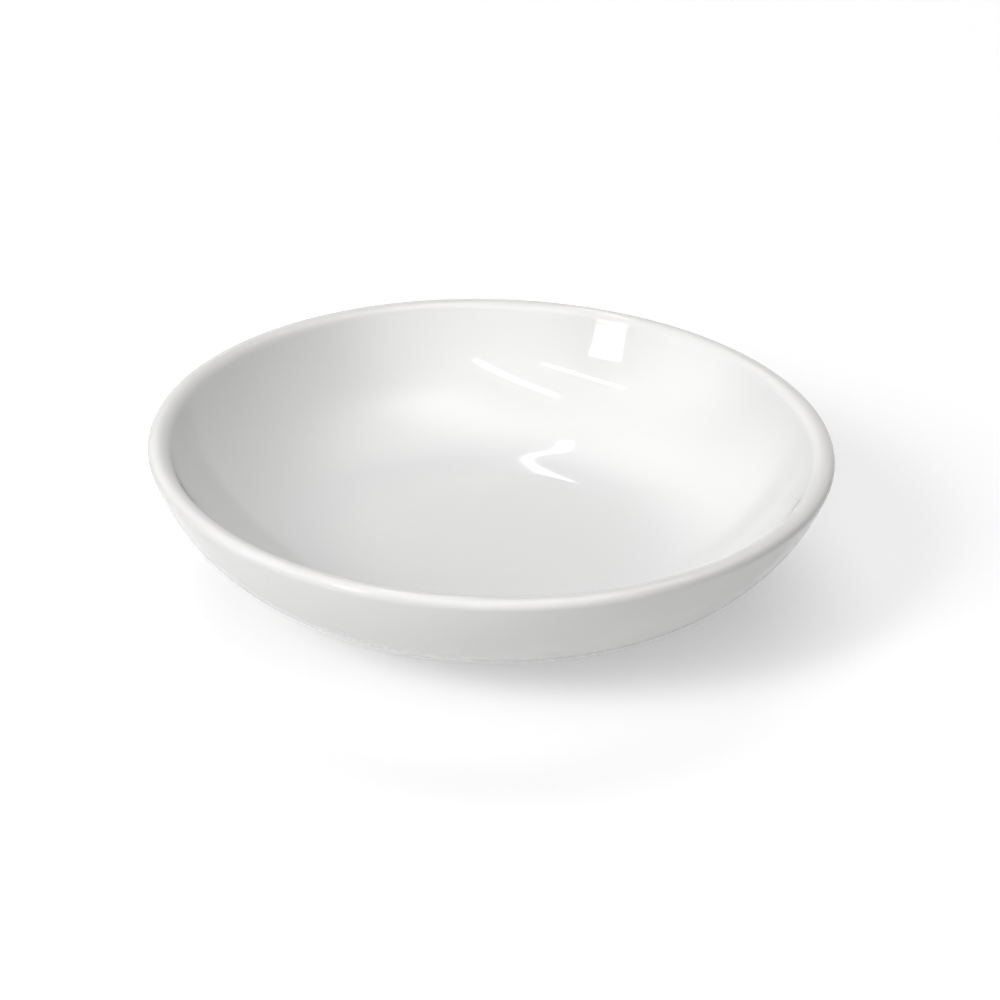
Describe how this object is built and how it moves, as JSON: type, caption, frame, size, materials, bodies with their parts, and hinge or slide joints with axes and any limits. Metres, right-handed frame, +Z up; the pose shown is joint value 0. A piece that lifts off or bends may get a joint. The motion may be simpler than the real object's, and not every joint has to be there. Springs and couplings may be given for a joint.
{
  "type": "soy sauce dish",
  "caption": "Small round shallow dish of white glazed porcelain, with a rounded rim, a level well and a bare foot ring, for soy sauce and dips.",
  "frame": {"origin": "centre of the foot ring's resting face, at table height", "axes": "+Z up along the dish's axis; the dish is round, so X and Y are any two level directions at right angles"},
  "size_m": [0.095, 0.095, 0.0205],
  "materials": {
    "bisque": "matte",
    "glaze": "gloss",
    "foot_glaze": "gloss"
  },
  "bodies": {
    "root": {"porcelain_body": "bisque", "glaze_coat": "glaze", "foot_recess_glaze": "foot_glaze"}
  },
  "joints": []
}
